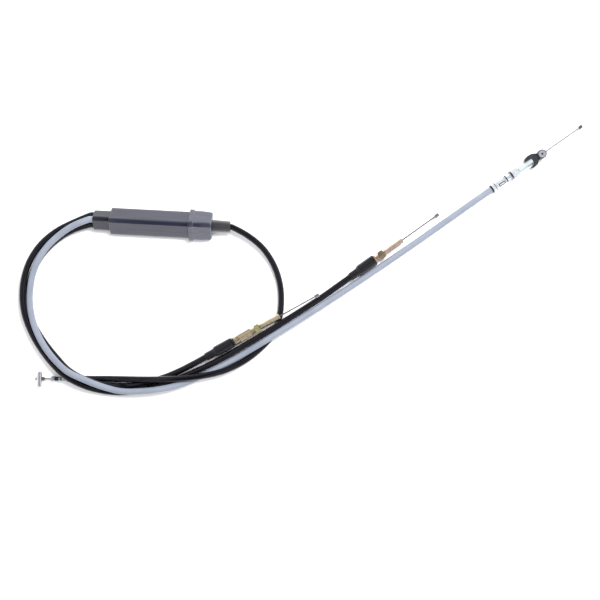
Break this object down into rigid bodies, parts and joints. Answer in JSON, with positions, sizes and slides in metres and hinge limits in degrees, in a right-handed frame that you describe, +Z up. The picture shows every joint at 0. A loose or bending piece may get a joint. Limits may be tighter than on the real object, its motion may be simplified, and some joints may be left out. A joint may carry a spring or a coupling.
{
  "type": "throttle cable set",
  "caption": "Motorcycle throttle cable set: lever cable into a junction box, out to carburettor cables with boots and threaded adjusters, and a grey oil pump cable with clip.",
  "frame": {"origin": "on the resting face, under the middle of the junction box body", "axes": "+X along the junction box towards the lever cable, +Y across the box away from the cable loop, +Z up off the resting face"},
  "size_m": [0.551, 0.2937, 0.0293],
  "materials": {
    "moulded_black": "satin moulded",
    "black_rubber": "matte",
    "acetal": "satin",
    "clip_plastic": "satin moulded",
    "black_jacket": "semi gloss extruded",
    "grey_jacket": "semi gloss extruded",
    "wound_steel": "spiral wound",
    "liner_plastic": "smooth",
    "wire_steel": "stranded",
    "solder": "cast satin",
    "ferrule_steel": "plated",
    "dark_steel": "dark plated",
    "chrome": "polished",
    "yellow_zinc": "yellow passivated zinc",
    "silver_zinc": "bright zinc",
    "nylon": "translucent white"
  },
  "bodies": {
    "housing": {"splitter_body": "moulded_black", "outlet_sleeve": "black_rubber", "splitter_cap": "moulded_black", "inlet_nose": "black_rubber", "inlet_plug": "acetal", "lever_inner_ferrule": "ferrule_steel", "lever_jacket": "black_jacket", "lever_conduit": "wound_steel", "lever_liner": "liner_plastic", "lever_core_wire": "wire_steel", "lever_end_ferrule": "ferrule_steel", "carb1_inner_ferrule": "ferrule_steel", "carb1_jacket": "black_jacket", "carb1_conduit": "wound_steel", "carb1_liner": "liner_plastic", "carb1_core_wire": "wire_steel", "carb1_end_ferrule": "dark_steel", "carb2_inner_ferrule": "ferrule_steel", "carb2_jacket": "black_jacket", "carb2_conduit": "wound_steel", "carb2_liner": "liner_plastic", "carb2_core_wire": "wire_steel", "carb2_end_ferrule": "dark_steel", "pump_inner_ferrule": "ferrule_steel", "pump_jacket": "grey_jacket", "pump_conduit": "wound_steel", "pump_liner": "liner_plastic", "pump_core_wire": "wire_steel", "pump_end_ferrule": "dark_steel"},
    "slider": {"slider": "acetal", "lever_inner_nipple": "solder", "lever_inner_wire": "wire_steel", "carb1_inner_nipple": "solder", "carb1_inner_wire": "wire_steel", "carb2_inner_nipple": "solder", "carb2_inner_wire": "wire_steel", "pump_inner_nipple": "solder", "pump_inner_wire": "wire_steel"},
    "lever_pull": {"lever_barrel": "chrome", "lever_wire_end": "wire_steel"},
    "carb1_pull": {"carb1_wire_end": "wire_steel", "carb1_nipple": "solder"},
    "carb2_pull": {"carb2_wire_end": "wire_steel", "carb2_nipple": "solder"},
    "pump_pull": {"pump_wire_end": "wire_steel", "pump_nipple": "solder"},
    "carb1_adjuster": {"carb1_adjuster": "yellow_zinc"},
    "carb2_adjuster": {"carb2_adjuster": "yellow_zinc"},
    "pump_adjuster": {"pump_adjuster": "silver_zinc", "pump_lock_ring": "dark_steel", "pump_guide_sleeve": "nylon"},
    "carb1_lock_nut": {"carb1_lock_nut": "yellow_zinc"},
    "carb2_lock_nut": {"carb2_lock_nut": "yellow_zinc"},
    "pump_nut": {"pump_nut": "silver_zinc", "pump_washer": "dark_steel"},
    "carb1_boot": {"carb1_boot": "black_rubber"},
    "carb2_boot": {"carb2_boot": "black_rubber"},
    "pump_clip": {"pump_clip": "clip_plastic"}
  },
  "joints": [
    {"name": "slider_slide", "type": "slide", "parent": "housing", "child": "slider", "axis": [1, 0, 0], "range_m": [0, 0.032]},
    {"name": "lever_pull_slide", "type": "slide", "parent": "housing", "child": "lever_pull", "axis": [-0.9986, -0.0523, 0], "range_m": [0, 0.032]},
    {"name": "carb1_pull_slide", "type": "slide", "parent": "housing", "child": "carb1_pull", "axis": [-0.8465, -0.5289, -0.061], "range_m": [0, 0.032]},
    {"name": "carb2_pull_slide", "type": "slide", "parent": "housing", "child": "carb2_pull", "axis": [-0.7826, -0.6225, 0], "range_m": [0, 0.032]},
    {"name": "pump_pull_slide", "type": "slide", "parent": "housing", "child": "pump_pull", "axis": [-0.788, -0.6157, 0], "range_m": [0, 0.032]},
    {"name": "carb1_adjuster_turn", "type": "hinge", "parent": "housing", "child": "carb1_adjuster", "pos_m": [0.0895, -0.1133, 0.0078], "axis": [0.8465, 0.5289, 0.061], "range_deg": [0, 2790]},
    {"name": "carb1_lock_nut_travel", "type": "slide", "parent": "housing", "child": "carb1_lock_nut", "axis": [0.8465, 0.5289, 0.061], "range_m": [0, 0.00775]},
    {"name": "carb1_boot_slide", "type": "slide", "parent": "housing", "child": "carb1_boot", "axis": [0.8465, 0.5289, 0.061], "range_m": [-0.015, 0.018]},
    {"name": "carb2_adjuster_turn", "type": "hinge", "parent": "housing", "child": "carb2_adjuster", "pos_m": [0.2105, -0.0362, 0.0056], "axis": [0.7826, 0.6225, 0], "range_deg": [0, 2790]},
    {"name": "carb2_lock_nut_travel", "type": "slide", "parent": "housing", "child": "carb2_lock_nut", "axis": [0.7826, 0.6225, 0], "range_m": [0, 0.00775]},
    {"name": "carb2_boot_slide", "type": "slide", "parent": "housing", "child": "carb2_boot", "axis": [0.7826, 0.6225, 0], "range_m": [-0.011, 0]},
    {"name": "pump_adjuster_turn", "type": "hinge", "parent": "housing", "child": "pump_adjuster", "pos_m": [0.337, 0.051, 0.0052], "axis": [0.788, 0.6157, 0], "range_deg": [0, 1710]},
    {"name": "pump_nut_travel", "type": "slide", "parent": "housing", "child": "pump_nut", "axis": [0.788, 0.6157, 0], "range_m": [-0.00475, 0]},
    {"name": "pump_clip_swivel", "type": "hinge", "parent": "housing", "child": "pump_clip", "pos_m": [0.337, 0.051, 0.0052], "axis": [0.788, 0.6157, 0], "range_deg": [-40, 40]}
  ],
  "couplings": [
    {"joint": "lever_pull_slide", "follows": "slider_slide", "ratio": 1},
    {"joint": "carb1_pull_slide", "follows": "slider_slide", "ratio": 1},
    {"joint": "carb2_pull_slide", "follows": "slider_slide", "ratio": 1},
    {"joint": "pump_pull_slide", "follows": "slider_slide", "ratio": 1},
    {"joint": "carb1_lock_nut_travel", "follows": "carb1_adjuster_turn", "m_per_rad": 0.00015915},
    {"joint": "carb2_lock_nut_travel", "follows": "carb2_adjuster_turn", "m_per_rad": 0.00015915},
    {"joint": "pump_nut_travel", "follows": "pump_adjuster_turn", "m_per_rad": -0.00015915}
  ]
}
